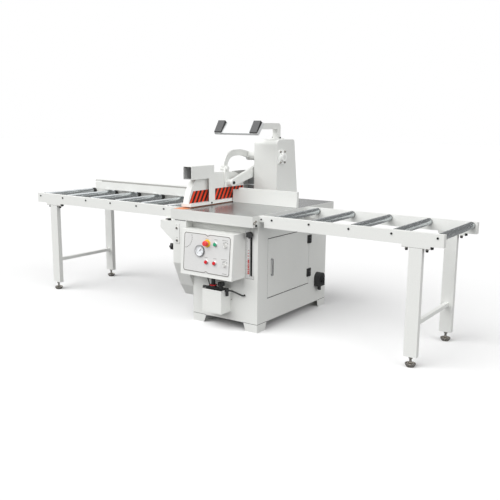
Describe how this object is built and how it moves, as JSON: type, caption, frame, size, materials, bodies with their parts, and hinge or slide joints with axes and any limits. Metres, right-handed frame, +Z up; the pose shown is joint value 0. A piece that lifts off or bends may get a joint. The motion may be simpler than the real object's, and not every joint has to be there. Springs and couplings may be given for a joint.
{
  "type": "pneumatic up-cut cross-cut saw",
  "caption": "Floor-standing up-cut cross-cut saw with a steel table, striped hold-down guard on parallel arms, control box, work lamp and a roller conveyor on each side.",
  "frame": {"origin": "middle of the bounding box on the floor", "axes": "+X along the conveyors to the operator's right, +Y from the operator to the back, +Z up"},
  "size_m": [3.797, 1.3024, 1.5409],
  "materials": {
    "white_paint": "fine powder coat",
    "polished_steel": "ground",
    "zinc_steel": "zinc plated",
    "orange_plastic": "machined sheet",
    "black_plastic": "moulded",
    "bright_metal": "plated",
    "panel_aluminium": "anodised",
    "red_plastic": "moulded",
    "green_plastic": "moulded",
    "grey_casting": "painted casting",
    "belt_rubber": "moulded"
  },
  "bodies": {
    "machine": {"cabinet_shell": "white_paint", "cabinet_base": "white_paint", "column": "white_paint", "left_rails": "white_paint", "right_rails": "white_paint", "conveyor_legs": "white_paint", "left_fence": "white_paint", "right_fence": "white_paint", "blade_housing": "white_paint", "control_box": "white_paint", "air_unit_cover": "white_paint", "lamp_arm": "white_paint", "table_top": "polished_steel", "roller_axles": "zinc_steel", "levelling_feet": "zinc_steel", "slot_insert": "orange_plastic", "door_hinges": "black_plastic", "air_regulator": "black_plastic", "isolator": "black_plastic", "chip_screen": "black_plastic", "control_panel": "panel_aluminium", "lift_cylinder": "panel_aluminium", "motor": "grey_casting"},
    "door": {"cabinet_door": "white_paint", "door_handle": "bright_metal"},
    "housing_knob": {"housing_knob": "black_plastic"},
    "stroke_knob": {"stroke_knob": "black_plastic"},
    "gauge_needle": {"gauge_needle": "black_plastic"},
    "emergency_stop": {"emergency_stop_button": "red_plastic"},
    "start_button": {"start_button": "green_plastic"},
    "stop_button": {"stop_button": "red_plastic"},
    "clamp_button": {"clamp_button": "red_plastic"},
    "mode_selector": {"mode_selector": "bright_metal"},
    "cycle_selector": {"cycle_selector": "bright_metal"},
    "regulator_knob": {"regulator_knob": "black_plastic"},
    "shutoff_knob": {"shutoff_knob": "black_plastic"},
    "isolator_handle": {"isolator_handle": "black_plastic"},
    "saw_arm": {"saw_arm": "grey_casting", "drive_belt": "belt_rubber"},
    "arbor": {"arbor_shaft": "polished_steel", "saw_blade": "polished_steel"},
    "motor_rotor": {"motor_pulley": "grey_casting"},
    "lift_rod": {"lift_rod": "polished_steel"},
    "upper_arm": {"upper_arm": "white_paint"},
    "lower_arm": {"lower_arm": "white_paint"},
    "guard": {"guard_hood": "white_paint", "holddown_yoke": "white_paint"},
    "lamp": {"lamp_housing": "white_paint"},
    "left_roller_1": {"left_roller_1": "zinc_steel"},
    "left_roller_2": {"left_roller_2": "zinc_steel"},
    "left_roller_3": {"left_roller_3": "zinc_steel"},
    "left_roller_4": {"left_roller_4": "zinc_steel"},
    "left_roller_5": {"left_roller_5": "zinc_steel"},
    "left_roller_6": {"left_roller_6": "zinc_steel"},
    "right_roller_1": {"right_roller_1": "zinc_steel"},
    "right_roller_2": {"right_roller_2": "zinc_steel"},
    "right_roller_3": {"right_roller_3": "zinc_steel"},
    "right_roller_4": {"right_roller_4": "zinc_steel"},
    "right_roller_5": {"right_roller_5": "zinc_steel"}
  },
  "joints": [
    {"name": "door_swing", "type": "hinge", "parent": "machine", "child": "door", "pos_m": [0.552, 0.26474, 0.243], "axis": [0, 0, 1], "range_deg": [0, 110]},
    {"name": "housing_knob_turn", "type": "hinge", "parent": "machine", "child": "housing_knob", "pos_m": [-0.1915, -0.53276, 0.578], "axis": [-1, 0, 0], "continuous": true},
    {"name": "stroke_knob_slide", "type": "slide", "parent": "machine", "child": "stroke_knob", "axis": [0, 0, 1], "range_m": [-0.285, 0]},
    {"name": "gauge_needle_turn", "type": "hinge", "parent": "machine", "child": "gauge_needle", "pos_m": [0.1295, -0.61498, 0.59543], "axis": [0, -0.997, 0.0774], "range_deg": [-90, 180]},
    {"name": "emergency_stop_press", "type": "slide", "parent": "machine", "child": "emergency_stop", "axis": [0, 0.997, -0.0774], "range_m": [0, 0.006], "stiffness_N_per_m": 800, "springref_m": -0.002},
    {"name": "start_press", "type": "slide", "parent": "machine", "child": "start_button", "axis": [0, 0.997, -0.0774], "range_m": [0, 0.004], "stiffness_N_per_m": 500, "springref_m": -0.002},
    {"name": "stop_press", "type": "slide", "parent": "machine", "child": "stop_button", "axis": [0, 0.997, -0.0774], "range_m": [0, 0.004], "stiffness_N_per_m": 500, "springref_m": -0.002},
    {"name": "clamp_press", "type": "slide", "parent": "machine", "child": "clamp_button", "axis": [0, 0.997, -0.0774], "range_m": [0, 0.004], "stiffness_N_per_m": 500, "springref_m": -0.002},
    {"name": "mode_selector_turn", "type": "hinge", "parent": "machine", "child": "mode_selector", "pos_m": [0.3605, -0.61026, 0.65625], "axis": [0, -0.997, 0.0774], "range_deg": [-45, 45]},
    {"name": "cycle_selector_turn", "type": "hinge", "parent": "machine", "child": "cycle_selector", "pos_m": [0.3605, -0.62094, 0.51866], "axis": [0, -0.997, 0.0774], "range_deg": [-45, 45]},
    {"name": "regulator_knob_turn", "type": "hinge", "parent": "machine", "child": "regulator_knob", "pos_m": [0.1835, -0.52776, 0.315], "axis": [0, 0, 1], "continuous": true},
    {"name": "shutoff_knob_turn", "type": "hinge", "parent": "machine", "child": "shutoff_knob", "pos_m": [0.2585, -0.52776, 0.315], "axis": [0, 0, 1], "range_deg": [0, 90]},
    {"name": "isolator_handle_turn", "type": "hinge", "parent": "machine", "child": "isolator_handle", "pos_m": [0.5975, 0.40574, 0.253], "axis": [1, 0, 0], "range_deg": [0, 90]},
    {"name": "saw_arm_swing", "type": "hinge", "parent": "machine", "child": "saw_arm", "pos_m": [0.007, 0.17124, 0.5], "axis": [-1, 0, 0], "range_deg": [0, 35.43]},
    {"name": "lift_rod_slide", "type": "slide", "parent": "machine", "child": "lift_rod", "axis": [0, 0, 1], "range_m": [0, 0.1028]},
    {"name": "arbor_spin", "type": "hinge", "parent": "saw_arm", "child": "arbor", "pos_m": [-0.1425, -0.17425, 0.556], "axis": [1, 0, 0], "continuous": true},
    {"name": "motor_spin", "type": "hinge", "parent": "machine", "child": "motor_rotor", "pos_m": [0.077, 0.17124, 0.5], "axis": [1, 0, 0], "continuous": true},
    {"name": "upper_arm_swing", "type": "hinge", "parent": "machine", "child": "upper_arm", "pos_m": [-0.1305, 0.37324, 1.244], "axis": [-1, 0, 0], "range_deg": [0, 25]},
    {"name": "lower_arm_swing", "type": "hinge", "parent": "machine", "child": "lower_arm", "pos_m": [-0.1305, 0.38924, 1.13], "axis": [-1, 0, 0], "range_deg": [0, 25]},
    {"name": "guard_level", "type": "hinge", "parent": "upper_arm", "child": "guard", "pos_m": [-0.1305, 0.02024, 1.154], "axis": [-1, 0, 0], "range_deg": [-25, 0]},
    {"name": "lamp_tilt", "type": "hinge", "parent": "machine", "child": "lamp", "pos_m": [0.0795, 0.01524, 1.496], "axis": [1, 0, 0], "range_deg": [-20, 20]},
    {"name": "left_roller_1_spin", "type": "hinge", "parent": "machine", "child": "left_roller_1", "pos_m": [-0.3575, -0.12126, 0.851], "axis": [0, 1, 0], "continuous": true},
    {"name": "left_roller_2_spin", "type": "hinge", "parent": "machine", "child": "left_roller_2", "pos_m": [-0.6575, -0.12126, 0.851], "axis": [0, 1, 0], "continuous": true},
    {"name": "left_roller_3_spin", "type": "hinge", "parent": "machine", "child": "left_roller_3", "pos_m": [-0.9575, -0.12126, 0.851], "axis": [0, 1, 0], "continuous": true},
    {"name": "left_roller_4_spin", "type": "hinge", "parent": "machine", "child": "left_roller_4", "pos_m": [-1.2575, -0.12126, 0.851], "axis": [0, 1, 0], "continuous": true},
    {"name": "left_roller_5_spin", "type": "hinge", "parent": "machine", "child": "left_roller_5", "pos_m": [-1.5575, -0.12126, 0.851], "axis": [0, 1, 0], "continuous": true},
    {"name": "left_roller_6_spin", "type": "hinge", "parent": "machine", "child": "left_roller_6", "pos_m": [-1.8575, -0.12126, 0.851], "axis": [0, 1, 0], "continuous": true},
    {"name": "right_roller_1_spin", "type": "hinge", "parent": "machine", "child": "right_roller_1", "pos_m": [0.6595, -0.12126, 0.851], "axis": [0, 1, 0], "continuous": true},
    {"name": "right_roller_2_spin", "type": "hinge", "parent": "machine", "child": "right_roller_2", "pos_m": [0.9595, -0.12126, 0.851], "axis": [0, 1, 0], "continuous": true},
    {"name": "right_roller_3_spin", "type": "hinge", "parent": "machine", "child": "right_roller_3", "pos_m": [1.2595, -0.12126, 0.851], "axis": [0, 1, 0], "continuous": true},
    {"name": "right_roller_4_spin", "type": "hinge", "parent": "machine", "child": "right_roller_4", "pos_m": [1.5595, -0.12126, 0.851], "axis": [0, 1, 0], "continuous": true},
    {"name": "right_roller_5_spin", "type": "hinge", "parent": "machine", "child": "right_roller_5", "pos_m": [1.8595, -0.12126, 0.851], "axis": [0, 1, 0], "continuous": true}
  ],
  "couplings": [
    {"joint": "lift_rod_slide", "follows": "saw_arm_swing", "m_per_rad": 0.16531},
    {"joint": "motor_spin", "follows": "arbor_spin", "ratio": 1.1},
    {"joint": "lower_arm_swing", "follows": "upper_arm_swing", "ratio": 1},
    {"joint": "guard_level", "follows": "upper_arm_swing", "ratio": -1}
  ]
}
